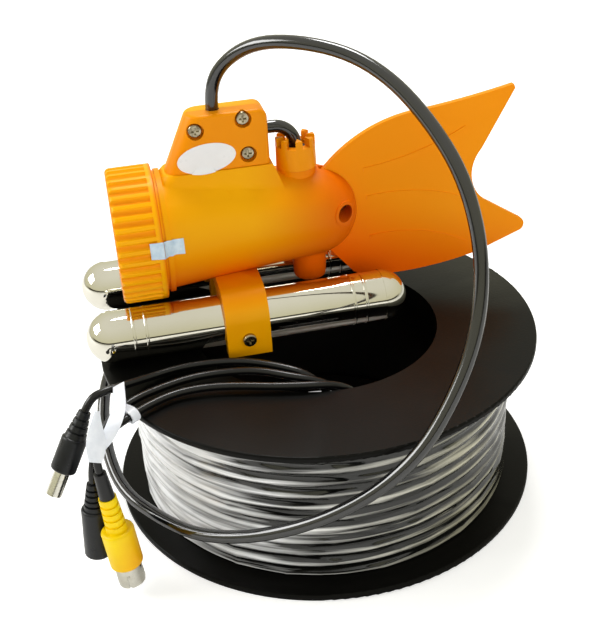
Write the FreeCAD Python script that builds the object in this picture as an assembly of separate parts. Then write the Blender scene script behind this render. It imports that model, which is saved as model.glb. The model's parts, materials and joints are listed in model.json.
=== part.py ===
import FreeCAD, Part
import math
import os
from FreeCAD import Vector

# Underwater fishing camera lying across the top of its cable reel. Millimetres, +Z up.
# The reel's axis is Z and its lower flange stands on z = 0. The camera is drawn in a frame of its
# own, with X along the housing from the lens to the tail and Y away from the viewer's side, and
# is then set on the reel.

# Cable reel
FLANGE_D = 160.0
FLANGE_T = 2.4
FLANGE_EDGE = 0.7
REEL_H = 60.7
BORE_D = 88.6
SPIGOT_LEN = 5.6
SPIGOT_WALL = 1.3
SPIGOT_FIT = 0.1
CORE_WALL = 1.6
CABLE_D = 4.5
LAYER_PITCH = 4.6
LAYERS = 5
WINDING_GAP = 0.3
FILM_GAP = 0.15
FILM_T = 0.3
FILM_END_GAP = 0.6
FILM_MOUTH_FROM = 122.0
FILM_MOUTH_TO = 164.0
FILM_MOUTH_BOTTOM = 42.0

# Breakout block in the hub, where the cable divides into three leads
BREAKOUT_ANGLE = -76.0
BREAKOUT_W = 24.0
BREAKOUT_DEPTH = 9.0
BREAKOUT_H = 20.0
BREAKOUT_Z = 20.0
BREAKOUT_FIT = 0.15
LEAD_D = 2.8
LEAD_RISE = 8.6
LEAD_PITCH = 6.0
LEAD_INSET = 5.6

# Where the camera lies on the reel
NOSE_X = -85.3
NOSE_Y = -0.75
YAW = 11.85
SEAT_GAP = 0.3
BODY_OVER_TUBES = 29.2

# Ballast tubes
TUBE_R = 9.3
TUBE_WALL = 0.8
TUBE_LEN = 116.9
TUBE_SPACING = 39.2
CAP_R = 9.5
CAP_SKIRT = 5.0
CAP_PLUG = 4.0
CAP_FIT = 0.1
BEAD_PITCH = 4.4
BEAD_INSET = 2.2
BEAD_PROUD = 0.2
SLUG_END_GAP = 4.0

# Tube clamp under the housing
CLAMP_FROM = 48.3
CLAMP_W = 15.6
CLAMP_WALL = 2.6
CLAMP_FIT = 0.1
CLAMP_RISE = 1.6
CLAMP_SHOULDER_R = 10.5
CLAMP_SKIRT = 9.2
CLAMP_MOUTH = 12.4
CLAMP_INNER_WALL = 3.0
CLAMP_WEB = 3.0
CLAMP_SCREW_BITE = 2.4
CRADLE_FIT = 0.1
LOCK_DROP = 2.5
LOCK_TIP_GAP = 0.15

# Housing, a turned shape about its own axis
RING_FRONT = 15.0
RING_LEN = 16.0
RING_R = 24.3
RING_RIBS = 38
RIB_DEPTH = 1.0
FLUTE_R = 1.5
RIB_LAND_REAR = 2.2
RING_LIP_T = 2.2
VIEW_R = 17.8
RING_RUN_FIT = 0.1
NECK_R = 21.6
COLLAR_FROM = 32.0
COLLAR_TO = 33.8
COLLAR_R = 22.2
SHOULDER_R = 21.0
WAIST_A = 60.0
WAIST_R = 18.7
DOME_FROM = 87.4
DOME_R = 16.5
BOARD_BORE_R = 17.2
BOARD_SEAT = 33.0
LEDGE_DEEP = 1.6
LEDGE_R = 15.2
CAVITY_FRONT_R = 16.4
CAVITY_MID_R = 15.9
CAVITY_REAR_R = 12.4
CAVITY_END = 84.0

# Window stack behind the ring
WASHER_T = 0.6
WINDOW_T = 4.0
WINDOW_FIT = 0.4
STACK_GAP = 0.05
ORING_R = 0.9
ORING_CENTRE_R = 19.5
ORING_GROOVE_W = 1.95

# Lamp board and camera module
BOARD_T = 1.6
BOARD_FIT = 0.1
BOARD_HOLE_R = 7.6
LED_COUNT = 12
LED_R = 2.5
LED_H = 7.0
LED_CIRCLE_R = 12.6
BARREL_R = 7.2
BARREL_FRONT = 25.6
BARREL_LEN = 19.0
LENS_SEAT = 3.5
LENS_R = 5.0
CARRIER_FROM = 42.0
CARRIER_T = 3.0
CARRIER_R = 14.6
POST_R = 1.4
POST_CIRCLE_R = 12.6
SENSOR_BOARD_W = 19.0
SENSOR_BOARD_T = 1.6

# Cable block on the back of the housing
BLOCK_HALF = 6.5
BLOCK_BASE_Z = 22.6
BLOCK_TOP_Z = 42.6
BLOCK_FOOT_A = 35.6
BLOCK_CREST_A = 44.8
BLOCK_REAR_A = 72.3
BLOCK_CORNER_R = 3.4
BLOCK_NOSE_R = 5.4
BLOCK_EDGE_R = 1.6
LEDGE = 0.7
PAD_DEPTH = 10.6
PAD_FLARE = 4.0
BLOCK_SPLIT_GAP = 0.1
CABLE_TOP_A = 54.4
CABLE_RISE = 7.6
CABLE_REAR_Z = 33.6
CABLE_BEND = 8.0
GROOVE_FIT = 0.1
COVER_SCREWS_FROM_REAR = ((25.1, 37.3), (8.5, 39.7), (7.6, 27.0))
SCREW_HEAD_R = 2.4
SCREW_HEAD_T = 1.6
SCREW_SINK = 2.4
SCREW_SINK_R = 2.95
SCREW_R = 1.25
SCREW_LEN = 8.0
SCREW_FIT = 0.05
RECESS_W = 0.7
RECESS_L = 2.6
RECESS_DEPTH = 0.9

# Cable gland with its castellated nut
GLAND_BEHIND_BLOCK = 10.3
GLAND_BEND = 7.5
BOSS_R = 6.9
BOSS_TOP_Z = 18.1
NUT_GAP = 0.2
NUT_R = 7.2
NUT_TOP_R = 7.05
NUT_H = 11.0
NUT_TEETH = 8
NUT_NOTCH_W = 3.0
NUT_NOTCH_DEPTH = 3.0
NUT_EYE_R = 4.2
STUB_R = 4.9
STUB_H = 7.2
STUB_BORE_R = 3.7
THREAD_FIT = 0.08
SEAL_FIT = 0.05
SEAL_FROM_Z = 18.6

# Rear foot and tail
FOOT_A = 85.5
FOOT_R = 7.0
FOOT_TIP_R = 6.0
FOOT_EDGE_R = 1.5
FOOT_BLEND_R = 2.0
FOOT_END_Z = -26.6
TAIL_T = 2.2
TAIL_RIB_PROUD = 0.3
TAIL_RIB_W = 1.3
SLOT_FIT = 0.15
TAIL_SCREW_A = 96.8
TAIL_SCREW_Z = 2.6
TAIL_SCREW_LEN = 9.0
TAIL_WELL_R = 3.0
TAIL_WELL_RIM = 1.1
TAIL_RIM_PROUD = 0.4
TAIL_HEAD_Y = -4.4

# Outline of the tail and its rays: distances along and above the housing's axis
TAIL_ROOT_TOP = (90.6, 13.6)
TAIL_BACK = (106.5, 26.6)
TAIL_CREST = (130.0, 33.0)
TAIL_RISE = (147.5, 35.3)
TAIL_TOP_TIP = (163.9, 38.3)
TAIL_TOP_CORNER = (164.5, 36.8)
TAIL_NOTCH_IN = (152.4, 15.2)
TAIL_NOTCH = (148.9, 6.7)
TAIL_NOTCH_OUT = (155.2, -6.3)
TAIL_LOW_IN = (169.6, -15.8)
TAIL_LOW_TIP = (170.8, -18.2)
TAIL_LOW_OUT = (169.6, -20.6)
TAIL_KEEL_REAR = (152.0, -27.2)
TAIL_KEEL_BOW = (135.5, -30.1)
TAIL_KEEL = (118.0, -31.0)
TAIL_KEEL_NOSE = (109.6, -30.4)
TAIL_KEEL_FRONT = (102.4, -27.9)
TAIL_ROOT_LOW = (90.6, -13.6)
TAIL_RAYS = (
    ((107.0, 13.2), (126.0, 16.6), (146.0, 24.4)),
    ((108.0, 2.0), (125.0, 1.9), (147.5, -4.6)),
    ((109.0, -14.2), (125.0, -14.6), (147.0, -22.4)))

# Plugs on the leads' far ends
POWER_TOP = (-79.0, -48.0, 60.0)
POWER_END = (-92.0, -58.0, 33.7)
VIDEO_TOP = (-72.2, -69.1, 50.5)
VIDEO_END = (-67.0, -71.0, 2.6)
LIGHT_TOP = (-76.7, -63.0, 41.6)
LIGHT_END = (-78.8, -64.5, 12.7)
POWER_BODY_R = 4.4
POWER_BODY_LEN = 12.5
BARREL_PIN_R = 2.75
BARREL_PIN_LEN = 9.0
BARREL_BORE_R = 1.05
VIDEO_BODY_R = 5.6
VIDEO_BODY_LEN = 15.0
VIDEO_NECK_LEN = 13.0
VIDEO_SHELL_R = 4.6
VIDEO_SHELL_LEN = 7.4
VIDEO_PIN_R = 1.6
VIDEO_PIN_LEN = 10.5
SLEEVE_LEN = 9.8
LIGHT_BODY_R = 4.7
RELIEF_TOP_R = 2.1
POWER_RUN_IN = 5.0
PLUG_RUN_IN = 6.0
TIE_W = 3.0
TIE_T = 0.7
TIE_FIT = 0.45
TIE_ON_VIDEO = 0.85
TIE_ON_LIGHT = 0.55

# Places worked out from the sizes above
TUBE_Z = REEL_H + SEAT_GAP + CAP_R
BODY_Z = TUBE_Z + BODY_OVER_TUBES
SPIGOT_R = BORE_D / 2 + SPIGOT_WALL
CORE_IN_R = SPIGOT_R + SPIGOT_FIT
CORE_R = CORE_IN_R + CORE_WALL
WINDING_R = CORE_R + CABLE_D + (LAYERS - 1) * LAYER_PITCH
SLUG_LEN = TUBE_LEN - 2 * (CAP_R + CAP_SKIRT + CAP_PLUG + SLUG_END_GAP)
GLAND_A = BLOCK_REAR_A + GLAND_BEHIND_BLOCK
SCREW_PLACES = tuple((BLOCK_REAR_A - back, z) for back, z in COVER_SCREWS_FROM_REAR)
RING_REAR = RING_FRONT + RING_LEN
WASHER_FROM = RING_FRONT + RING_LIP_T + STACK_GAP
WINDOW_FROM = WASHER_FROM + WASHER_T + STACK_GAP
NECK_FRONT = WINDOW_FROM + WINDOW_T + STACK_GAP
RING_BORE_R = NECK_R + RING_RUN_FIT
NUT_FROM_Z = BOSS_TOP_Z + NUT_GAP
NUT_TOP_Z = NUT_FROM_Z + NUT_H
STUB_TOP_Z = BOSS_TOP_Z + STUB_H
CABLE_R = CABLE_D / 2
LEAD_R = LEAD_D / 2

# The free cable: out of the block, over in an arch, down before the reel and on to the winding
MAIN_ROUTE = (
    (-26.6, 7.7, 159.4), (-15.5, 0.0, 167.3), (-1.0, -9.5, 169.5), (14.6, -18.0, 167.4),
    (26.9, -28.7, 161.4), (36.7, -40.2, 151.8), (44.3, -51.5, 140.5), (48.7, -58.9, 124.9),
    (49.5, -64.6, 107.9), (46.1, -71.0, 91.5), (38.9, -76.8, 76.1), (29.7, -81.4, 61.7),
    (17.1, -82.7, 49.4), (2.5, -81.8, 39.2), (-13.0, -78.7, 30.8), (-29.0, -73.7, 24.3),
    (-44.7, -66.3, 19.9), (-58.6, -55.1, 18.9), (-71.7, -43.5, 20.9), (-78.6, -29.9, 27.3),
    (-81.4, -16.0, 37.6), (-80.2, -0.4, 44.6), (-75.2, 15.7, 48.2), (-67.7, 31.1, 49.9),
    (-57.1, 44.6, 50.0))
POWER_ROUTE = (
    (2.5, -37.6, 56.9), (-4.6, -35.2, 62.4), (-14.4, -31.9, 63.8), (-25.7, -28.3, 64.2),
    (-37.8, -26.6, 63.1), (-49.4, -28.2, 62.6), (-58.6, -33.6, 63.0), (-65.8, -39.6, 64.4),
    (-72.0, -44.0, 65.2))
LIGHT_ROUTE = (
    (7.6, -38.9, 56.4), (0.5, -39.3, 61.6), (-9.8, -38.4, 63.6), (-20.7, -35.1, 64.5),
    (-32.5, -33.2, 63.3), (-44.4, -35.1, 62.9), (-54.5, -40.5, 62.8), (-62.9, -47.7, 63.4),
    (-69.2, -54.0, 61.3), (-73.4, -58.7, 55.8))
VIDEO_ROUTE = (
    (13.1, -39.2, 55.4), (6.4, -41.4, 61.4), (-3.4, -43.4, 62.9), (-14.8, -43.1, 62.9),
    (-26.5, -42.0, 63.2), (-38.0, -41.7, 63.2), (-49.0, -44.1, 62.9), (-57.3, -50.9, 63.1),
    (-62.6, -57.0, 63.2), (-67.7, -63.3, 63.1), (-70.7, -67.0, 60.6))


def cylinder(radius, length, base, direction):
    return Part.makeCylinder(radius, length, Vector(*base), Vector(*direction))


def along_x(radius, start, end):
    return cylinder(radius, end - start, (start, 0, 0), (1, 0, 0))


def upright(radius, bottom, top, x=0.0, y=0.0):
    return cylinder(radius, top - bottom, (x, y, bottom), (0, 0, 1))


def block(x0, x1, y0, y1, z0, z1):
    return Part.makeBox(x1 - x0, y1 - y0, z1 - z0, Vector(x0, y0, z0))


def line(a, b):
    return Part.LineSegment(Vector(*a), Vector(*b)).toShape()


def arc(a, b, c):
    return Part.Arc(Vector(*a), Vector(*b), Vector(*c)).toShape()


def turned_about_x(edges):
    face = Part.Face(Part.Wire(edges))
    return face.revolve(Vector(0, 0, 0), Vector(1, 0, 0), 360)


def aimed(shape, base, direction):
    """Turn a piece drawn along +Z so that it starts at base and runs along direction."""
    turned = shape.copy()
    turn = FreeCAD.Rotation(Vector(0, 0, 1), direction)
    turned.Placement = FreeCAD.Placement(base, turn).multiply(turned.Placement)
    return turned


def on_reel(shape):
    """Set a piece drawn in the camera's frame down on the reel."""
    placed = shape.copy()
    placed.translate(Vector(0, 0, BODY_Z))
    placed.rotate(Vector(0, 0, 0), Vector(0, 0, 1), YAW)
    placed.translate(Vector(NOSE_X, NOSE_Y, 0))
    return placed


def point_on_reel(x, y, z):
    return on_reel(Part.Vertex(Vector(x, y, z))).Point


def rounded_path(points):
    """Straight runs joined by the largest arc that each corner leaves room for."""
    edges = []
    radii = []
    here = points[0]
    for before, corner, after in zip(points, points[1:], points[2:]):
        run_in = corner - before
        run_out = after - corner
        cut = 0.45 * min(run_in.Length, run_out.Length)
        turn = run_in.getAngle(run_out)
        radius = cut / math.tan(turn / 2)
        run_in.normalize()
        run_out.normalize()
        start = corner - run_in * cut
        end = corner + run_out * cut
        inward = run_out - run_in
        inward.normalize()
        middle = corner + inward * (radius / math.cos(turn / 2) - radius)
        edges.append(Part.LineSegment(here, start).toShape())
        edges.append(Part.Arc(start, middle, end).toShape())
        radii.append(radius)
        here = end
    edges.append(Part.LineSegment(here, points[-1]).toShape())
    return Part.Wire(edges), radii


def cord(name, points, radius):
    path, radii = rounded_path(points)
    section = Part.Wire(Part.Circle(points[0], points[1] - points[0], radius).toShape())
    solid = path.makePipeShell([section], True, False)
    ideal = math.pi * radius ** 2 * path.Length
    bends = " ".join(f"{bend / (2 * radius):.1f}" for bend in radii)
    print(f"{name}: length {path.Length:.1f}, volume ratio {solid.Volume / ideal:.4f}, "
          f"bends in diameters {bends}")
    return solid


def pan_screw(length, head_r=SCREW_HEAD_R, shank_r=SCREW_R):
    """A pan-head screw that points along +Z, with the underside of its head at z = 0."""
    head = upright(head_r, -SCREW_HEAD_T, 0)
    rim = [edge for edge in head.Edges if abs(edge.CenterOfMass.z + SCREW_HEAD_T) < 1e-6]
    head = head.makeFillet(0.6, rim)
    half_w = RECESS_W / 2
    half_l = RECESS_L / 2
    floor = RECESS_DEPTH - SCREW_HEAD_T
    bar = block(-half_l, half_l, -half_w, half_w, -SCREW_HEAD_T, floor)
    cross_bar = block(-half_w, half_w, -half_l, half_l, -SCREW_HEAD_T, floor)
    return head.cut(bar).cut(cross_bar).fuse(upright(shank_r, 0, length))


# Cable reel

def flange():
    """One moulded flange, drawn as the lower one, with the spigot that locates the core."""
    bore = BORE_D / 2
    disc = upright(FLANGE_D / 2, 0, FLANGE_T)
    rims = [edge for edge in disc.Edges if edge.Curve.TypeId == "Part::GeomCircle"]
    disc = disc.makeFillet(FLANGE_EDGE, rims)
    spigot = upright(SPIGOT_R, FLANGE_T, FLANGE_T + SPIGOT_LEN)
    return disc.fuse(spigot).cut(upright(bore, -1, FLANGE_T + SPIGOT_LEN + 1))


def reel_lower_flange():
    return flange()


def reel_upper_flange():
    upper = flange()
    upper.rotate(Vector(0, 0, 0), Vector(1, 0, 0), 180)
    upper.translate(Vector(0, 0, REEL_H))
    return upper


def reel_core():
    tube = upright(CORE_R, FLANGE_T, REEL_H - FLANGE_T)
    tube = tube.cut(upright(CORE_IN_R, 0, REEL_H))
    door = block(0, CORE_R + 1, -CABLE_D * 0.7, CABLE_D * 0.7, 0, CABLE_D * 1.4)
    door.translate(Vector(0, 0, BREAKOUT_Z + BREAKOUT_H / 2 - CABLE_D * 0.7))
    door.rotate(Vector(0, 0, 0), Vector(0, 0, 1), BREAKOUT_ANGLE)
    return tube.cut(door)


def cable_winding():
    top = REEL_H - FLANGE_T - WINDING_GAP
    ring = upright(WINDING_R, FLANGE_T + WINDING_GAP, top)
    return ring.cut(upright(CORE_R + WINDING_GAP, 0, REEL_H))


def film_wrap():
    """Stretch film round the winding, open where the free cable leaves it."""
    inner = WINDING_R + FILM_GAP
    bottom = FLANGE_T + FILM_END_GAP
    top = REEL_H - FLANGE_T - FILM_END_GAP
    skin = upright(inner + FILM_T, bottom, top).cut(upright(inner, 0, REEL_H))
    sweep = FILM_MOUTH_TO - FILM_MOUTH_FROM
    mouth = Part.makeCylinder(FLANGE_D / 2, REEL_H, Vector(0, 0, FILM_MOUTH_BOTTOM), Vector(0, 0, 1), sweep)
    mouth.rotate(Vector(0, 0, 0), Vector(0, 0, 1), FILM_MOUTH_FROM)
    return skin.cut(mouth)


def in_hub(shape):
    """Turn a piece drawn on the hub wall at +X round to the breakout's side."""
    placed = shape.copy()
    placed.rotate(Vector(0, 0, 0), Vector(0, 0, 1), BREAKOUT_ANGLE)
    return placed


def lead_exit(index):
    """Top of the breakout, where the lead with that index leaves it."""
    spot = Part.Vertex(Vector(CORE_IN_R - LEAD_INSET, index * LEAD_PITCH, BREAKOUT_Z + BREAKOUT_H))
    return in_hub(spot).Point


def cable_breakout():
    """Moulded block on the hub's wall, with a stub through the wall to the winding."""
    wall = CORE_IN_R - BREAKOUT_FIT
    half = BREAKOUT_W / 2
    middle = BREAKOUT_Z + BREAKOUT_H / 2
    body = block(wall - BREAKOUT_DEPTH, wall + 1, -half, half, BREAKOUT_Z, BREAKOUT_Z + BREAKOUT_H)
    inner = [e for e in body.Edges if abs(e.CenterOfMass.x - wall + BREAKOUT_DEPTH) < 0.1]
    body = body.makeFillet(2.0, inner)
    body = body.common(upright(wall, BREAKOUT_Z - 1, BREAKOUT_Z + BREAKOUT_H + 1))
    stub = cylinder(CABLE_R, CORE_R - wall + BREAKOUT_DEPTH / 2, (wall - BREAKOUT_DEPTH / 2, 0, middle), (1, 0, 0))
    return in_hub(body.fuse(stub))


# Ballast tubes

def tube_side(side):
    return side * TUBE_SPACING / 2


def ballast_tube(side):
    """Thin-walled tube with two rolled beads near each end, where the caps are crimped in."""
    start = CAP_R + CAP_SKIRT
    end = TUBE_LEN - start
    shell = along_x(TUBE_R, start, end)
    for first, step in ((start + BEAD_INSET, 1), (end - BEAD_INSET, -1)):
        for number in range(2):
            bead = Part.makeTorus(TUBE_R - 0.6, 0.6 + BEAD_PROUD, Vector(0, 0, 0), Vector(1, 0, 0))
            bead.translate(Vector(first + step * number * BEAD_PITCH, 0, 0))
            shell = shell.fuse(bead)
    shell = shell.cut(along_x(TUBE_R - TUBE_WALL, start - 1, end + 1))
    return at_tube(shell, side)


def at_tube(shape, side):
    placed = shape.copy()
    placed.translate(Vector(0, tube_side(side), -BODY_OVER_TUBES))
    return placed


def end_caps(side):
    """Both domed caps of a tube, each with a skirt and a plug that fits inside the tube."""
    skirt_end = CAP_R + CAP_SKIRT
    plug_r = TUBE_R - TUBE_WALL - CAP_FIT
    dome = Part.makeSphere(CAP_R, Vector(CAP_R, 0, 0)).common(along_x(CAP_R + 1, -1, CAP_R))
    cap = dome.fuse(along_x(TUBE_R, CAP_R, skirt_end))
    cap = cap.fuse(along_x(plug_r, skirt_end, skirt_end + CAP_PLUG))
    other = cap.mirror(Vector(TUBE_LEN / 2, 0, 0), Vector(1, 0, 0))
    return at_tube(Part.makeCompound([cap, other]), side)


def ballast_slug(side):
    """Poured weight in the middle of a tube."""
    middle = TUBE_LEN / 2
    radius = TUBE_R - TUBE_WALL - CAP_FIT
    return at_tube(along_x(radius, middle - SLUG_LEN / 2, middle + SLUG_LEN / 2), side)


# Tube clamp

def tube_clamp():
    """Moulded saddle: a cradle for the housing over two open-bottomed jaws for the tubes."""
    bore = TUBE_R + CLAMP_FIT
    outer_y = TUBE_SPACING / 2 + bore + CLAMP_WALL
    top = -BODY_OVER_TUBES + bore + CLAMP_WALL + CLAMP_RISE
    bottom = -BODY_OVER_TUBES - CLAMP_SKIRT
    end = CLAMP_FROM + CLAMP_W
    shape = block(CLAMP_FROM, end, -outer_y, outer_y, bottom, top)
    corners = [e for e in shape.Edges
               if abs(e.CenterOfMass.z - top) < 1e-6 and abs(abs(e.CenterOfMass.y) - outer_y) < 1e-6]
    shape = shape.makeFillet(CLAMP_SHOULDER_R, corners)
    inner_y = TUBE_SPACING / 2 - bore - CLAMP_INNER_WALL
    web_z = -housing_radius(CLAMP_FROM) - CLAMP_WEB
    shape = shape.cut(block(CLAMP_FROM - 1, end + 1, -inner_y, inner_y, bottom - 1, web_z))
    for side in (-1, 1):
        y = tube_side(side)
        channel = at_tube(along_x(bore, CLAMP_FROM - 1, end + 1), side)
        mouth = block(CLAMP_FROM - 1, end + 1, y - CLAMP_MOUTH / 2, y + CLAMP_MOUTH / 2,
                      bottom - 1, -BODY_OVER_TUBES)
        shape = shape.cut(channel).cut(mouth)
        shape = shape.cut(lock_axis_cylinder(side, SCREW_R + SCREW_FIT, -4, CLAMP_WALL + bore))
    shape = shape.cut(housing_outside(CRADLE_FIT))
    for a in clamp_screw_places():
        shape = shape.cut(upright(SCREW_R + SCREW_FIT, web_z - 1, 0, a))
    return shape


def clamp_screw_places():
    middle = CLAMP_FROM + CLAMP_W / 2
    return (middle - CLAMP_W * 0.3, middle + CLAMP_W * 0.3)


def clamp_screws():
    """Two screws up through the clamp's web into the housing's wall."""
    web_z = -housing_radius(CLAMP_FROM) - CLAMP_WEB
    screws = []
    for a in clamp_screw_places():
        screw = pan_screw(clamp_screw_len())
        screw.translate(Vector(a, 0, web_z))
        screws.append(screw)
    return Part.makeCompound(screws)


def clamp_screw_len():
    return CLAMP_WEB + CLAMP_SCREW_BITE


def lock_axis_cylinder(side, radius, inset, length):
    """A cylinder on a lock screw's axis, from the clamp's outer face inwards."""
    face_y = TUBE_SPACING / 2 + TUBE_R + CLAMP_FIT + CLAMP_WALL
    base = (CLAMP_FROM + CLAMP_W / 2, side * (face_y - inset), -BODY_OVER_TUBES - LOCK_DROP)
    return cylinder(radius, length, base, (0, -side, 0))


def lock_screw(side):
    """Screw through the clamp's skirt that holds the tube where it has been slid to."""
    face_y = TUBE_SPACING / 2 + TUBE_R + CLAMP_FIT + CLAMP_WALL
    depth = math.sqrt(TUBE_R ** 2 - (LOCK_DROP - SCREW_R) ** 2)
    length = face_y - TUBE_SPACING / 2 - depth - LOCK_TIP_GAP
    base = Vector(CLAMP_FROM + CLAMP_W / 2, side * face_y, -BODY_OVER_TUBES - LOCK_DROP)
    return aimed(pan_screw(length), base, Vector(0, -side, 0))


# Housing

def side_arc_points():
    return (COLLAR_TO, SHOULDER_R), (WAIST_A, WAIST_R), (DOME_FROM, DOME_R)


def housing_radius(a):
    """Radius of the long, slightly barrelled side of the housing at distance a."""
    (x0, y0), (x1, y1), (x2, y2) = side_arc_points()
    return (y0 * (a - x1) * (a - x2) / ((x0 - x1) * (x0 - x2))
            + y1 * (a - x0) * (a - x2) / ((x1 - x0) * (x1 - x2))
            + y2 * (a - x0) * (a - x1) / ((x2 - x0) * (x2 - x1)))


def housing_outside(grow=0.0):
    """The housing's turned outside, from the step behind the ring to the rounded stern."""
    (x0, y0), (x1, y1), (x2, y2) = side_arc_points()
    crown = (x2 + (y2 + grow) * math.sin(math.pi / 4), 0, (y2 + grow) * math.cos(math.pi / 4))
    tip = (x2 + y2 + grow, 0, 0)
    edges = [
        line((COLLAR_FROM, 0, 0), (COLLAR_FROM, 0, COLLAR_R + grow)),
        line((COLLAR_FROM, 0, COLLAR_R + grow), (x0, 0, COLLAR_R + grow)),
        line((x0, 0, COLLAR_R + grow), (x0, 0, y0 + grow)),
        arc((x0, 0, y0 + grow), (x1, 0, y1 + grow), (x2, 0, y2 + grow)),
        arc((x2, 0, y2 + grow), crown, tip),
        line(tip, (COLLAR_FROM, 0, 0))]
    return turned_about_x(edges)


def cavity():
    """The dry space inside, with the ledge that the lamp board sits on."""
    points = [(NECK_FRONT - 1, 0), (NECK_FRONT - 1, BOARD_BORE_R), (BOARD_SEAT, BOARD_BORE_R),
              (BOARD_SEAT, LEDGE_R), (BOARD_SEAT + LEDGE_DEEP, LEDGE_R),
              (BOARD_SEAT + LEDGE_DEEP, CAVITY_FRONT_R), (WAIST_A, CAVITY_MID_R),
              (CAVITY_END, CAVITY_REAR_R), (CAVITY_END, 0)]
    loop = [Vector(a, 0, r) for a, r in points]
    face = Part.Face(Part.makePolygon(loop + loop[:1]))
    return face.revolve(Vector(0, 0, 0), Vector(1, 0, 0), 360)


def ring_groove():
    groove = along_x(ORING_CENTRE_R + ORING_GROOVE_W / 2, NECK_FRONT - 1, NECK_FRONT + 2 * ORING_R)
    return groove.cut(along_x(ORING_CENTRE_R - ORING_GROOVE_W / 2, NECK_FRONT - 2, NECK_FRONT + 3))


def block_outline(y0, y1, z0, z1, grow=0.0):
    """The cable block's side outline between two heights, as a prism from y0 to y1."""
    rake = (BLOCK_CREST_A - BLOCK_FOOT_A) / (BLOCK_TOP_Z - BLOCK_BASE_Z)
    front0 = BLOCK_FOOT_A - grow + rake * (z0 - BLOCK_BASE_Z)
    front1 = BLOCK_FOOT_A - grow + rake * (z1 - BLOCK_BASE_Z)
    rear = BLOCK_REAR_A + grow
    points = [Vector(front0, y0, z0), Vector(rear, y0, z0), Vector(rear, y0, z1), Vector(front1, y0, z1)]
    face = Part.Face(Part.makePolygon(points + points[:1]))
    return face.extrude(Vector(0, y1 - y0, 0))


def block_form():
    """The whole block, both halves together: raked front, round nose and soft top edges."""
    form = block_outline(-BLOCK_HALF, BLOCK_HALF, 0, BLOCK_TOP_Z)
    noses = [e for e in form.Edges if e.CenterOfMass.x < BLOCK_CREST_A and is_long_side(e)]
    form = form.makeFillet(BLOCK_NOSE_R, noses)
    corner = [e for e in form.Edges
              if abs(e.CenterOfMass.x - BLOCK_REAR_A) < 1e-3 and abs(e.CenterOfMass.z - BLOCK_TOP_Z) < 1e-3]
    form = form.makeFillet(BLOCK_CORNER_R, corner)
    rim = [e for e in form.Edges if abs(e.CenterOfMass.z - BLOCK_TOP_Z) < 1e-3
           and e.BoundBox.ZLength < 1e-3 and abs(e.CenterOfMass.x - BLOCK_REAR_A + BLOCK_CORNER_R) > 1e-3]
    return form.makeFillet(BLOCK_EDGE_R, rim)


def is_long_side(edge):
    return edge.BoundBox.ZLength > BLOCK_TOP_Z / 2 and edge.BoundBox.YLength < 1e-3


def pad_outline(z, grow):
    """Level outline of the block's pad at height z, grown all round."""
    rake = (BLOCK_CREST_A - BLOCK_FOOT_A) / (BLOCK_TOP_Z - BLOCK_BASE_Z)
    front = BLOCK_FOOT_A - grow + rake * (z - BLOCK_BASE_Z)
    rear = BLOCK_REAR_A + grow
    half = BLOCK_HALF + grow
    corners = [Vector(front, -half, z), Vector(rear, -half, z), Vector(rear, half, z), Vector(front, half, z)]
    return Part.makePolygon(corners + corners[:1])


def pad_form():
    """Pad that the block stands on, flared where it runs into the housing."""
    pad = Part.makeLoft([pad_outline(BLOCK_BASE_Z - PAD_DEPTH, LEDGE + PAD_FLARE),
                         pad_outline(BLOCK_BASE_Z, LEDGE)], True, True)
    noses = [e for e in pad.Edges if e.CenterOfMass.x < BLOCK_CREST_A and e.BoundBox.ZLength > PAD_DEPTH / 2]
    pad = pad.makeFillet(BLOCK_NOSE_R, noses)
    return pad.common(block(COLLAR_TO, TAIL_CREST[0], -COLLAR_R, COLLAR_R, 0, BLOCK_TOP_Z))


def held_cable_path():
    """Camera's own end of the cable: through the block, over and down into the gland."""
    top = (CABLE_TOP_A, 0, BLOCK_TOP_Z)
    bend = CABLE_BEND * (1 - math.sqrt(0.5))
    dip = CABLE_REAR_Z + CABLE_BEND
    gland = GLAND_BEND * (1 - math.sqrt(0.5))
    drop = CABLE_REAR_Z - GLAND_BEND
    turn_a = CABLE_TOP_A + CABLE_BEND
    leave_a = GLAND_A - GLAND_BEND
    edges = [
        line(top, (CABLE_TOP_A, 0, dip)),
        arc((CABLE_TOP_A, 0, dip), (CABLE_TOP_A + bend, 0, CABLE_REAR_Z + bend), (turn_a, 0, CABLE_REAR_Z)),
        line((turn_a, 0, CABLE_REAR_Z), (leave_a, 0, CABLE_REAR_Z)),
        arc((leave_a, 0, CABLE_REAR_Z), (GLAND_A - gland, 0, CABLE_REAR_Z - gland), (GLAND_A, 0, drop)),
        line((GLAND_A, 0, drop), (GLAND_A, 0, CAVITY_REAR_R - 4))]
    return Part.Wire(edges)


def held_cable(radius=CABLE_R):
    section = Part.Wire(Part.Circle(Vector(CABLE_TOP_A, 0, BLOCK_TOP_Z), Vector(0, 0, -1), radius).toShape())
    return held_cable_path().makePipeShell([section], True, False)


def block_cuts(shape):
    """Cable groove shared by the block's two halves."""
    return shape.cut(held_cable(CABLE_R + GROOVE_FIT))


def with_foot(body):
    """The body with its tapered rear foot, which is blended into the underside."""
    foot = Part.makeCone(FOOT_TIP_R, FOOT_R, -FOOT_END_Z, Vector(FOOT_A, 0, FOOT_END_Z), Vector(0, 0, 1))
    tip = [e for e in foot.Edges if abs(e.CenterOfMass.z - FOOT_END_Z) < 1e-3 and e.Curve.TypeId == "Part::GeomCircle"]
    body = body.fuse(foot.makeFillet(FOOT_EDGE_R, tip))
    root = [e for e in body.Edges if e.BoundBox.ZMax < 0 and e.BoundBox.ZMin > -DOME_R * 1.2
            and abs(e.CenterOfMass.x - FOOT_A) < FOOT_R and e.BoundBox.YLength > FOOT_R]
    return body.makeFillet(FOOT_BLEND_R, root)


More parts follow.
